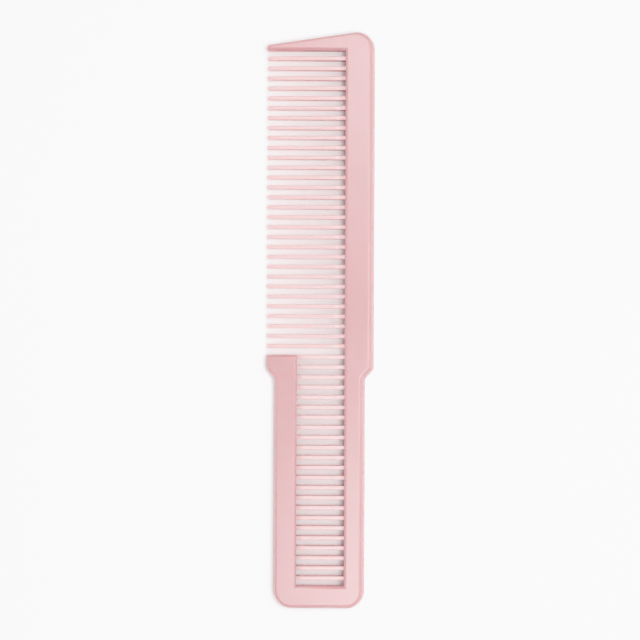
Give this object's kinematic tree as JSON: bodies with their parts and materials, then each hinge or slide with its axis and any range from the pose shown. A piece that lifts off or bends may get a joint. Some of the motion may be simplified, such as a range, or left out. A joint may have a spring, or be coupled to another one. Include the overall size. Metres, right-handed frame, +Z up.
{
  "type": "clipper comb",
  "caption": "Flat one-piece barber's comb: thick spine, free parallel teeth with a wedge-shaped end guard, and a closed handle with cross bars across its window.",
  "frame": {"origin": "middle of the bounding box's underside, where the comb rests", "axes": "+Y along the comb from the heel of the handle to the nose, +Z up through its thickness, teeth point to -X and the spine is on +X"},
  "size_m": [0.0384, 0.2053, 0.0048],
  "materials": {
    "comb_plastic": "satin"
  },
  "bodies": {
    "root": {"spine": "comb_plastic", "nose": "comb_plastic", "heel": "comb_plastic", "front_rail": "comb_plastic", "tooth_01": "comb_plastic", "tooth_02": "comb_plastic", "tooth_03": "comb_plastic", "tooth_04": "comb_plastic", "tooth_05": "comb_plastic", "tooth_06": "comb_plastic", "tooth_07": "comb_plastic", "tooth_08": "comb_plastic", "tooth_09": "comb_plastic", "tooth_10": "comb_plastic", "tooth_11": "comb_plastic", "tooth_12": "comb_plastic", "tooth_13": "comb_plastic", "tooth_14": "comb_plastic", "tooth_15": "comb_plastic", "tooth_16": "comb_plastic", "tooth_17": "comb_plastic", "tooth_18": "comb_plastic", "tooth_19": "comb_plastic", "tooth_20": "comb_plastic", "tooth_21": "comb_plastic", "tooth_22": "comb_plastic", "tooth_23": "comb_plastic", "tooth_24": "comb_plastic", "tooth_25": "comb_plastic", "tooth_26": "comb_plastic", "tooth_27": "comb_plastic", "tooth_28": "comb_plastic", "tooth_29": "comb_plastic", "tooth_30": "comb_plastic", "bar_01": "comb_plastic", "bar_02": "comb_plastic", "bar_03": "comb_plastic", "bar_04": "comb_plastic", "bar_05": "comb_plastic", "bar_06": "comb_plastic", "bar_07": "comb_plastic", "bar_08": "comb_plastic", "bar_09": "comb_plastic", "bar_10": "comb_plastic", "bar_11": "comb_plastic", "bar_12": "comb_plastic", "bar_13": "comb_plastic", "bar_14": "comb_plastic", "bar_15": "comb_plastic", "bar_16": "comb_plastic", "bar_17": "comb_plastic", "bar_18": "comb_plastic", "bar_19": "comb_plastic", "bar_20": "comb_plastic", "bar_21": "comb_plastic", "bar_22": "comb_plastic", "bar_23": "comb_plastic"}
  },
  "joints": []
}
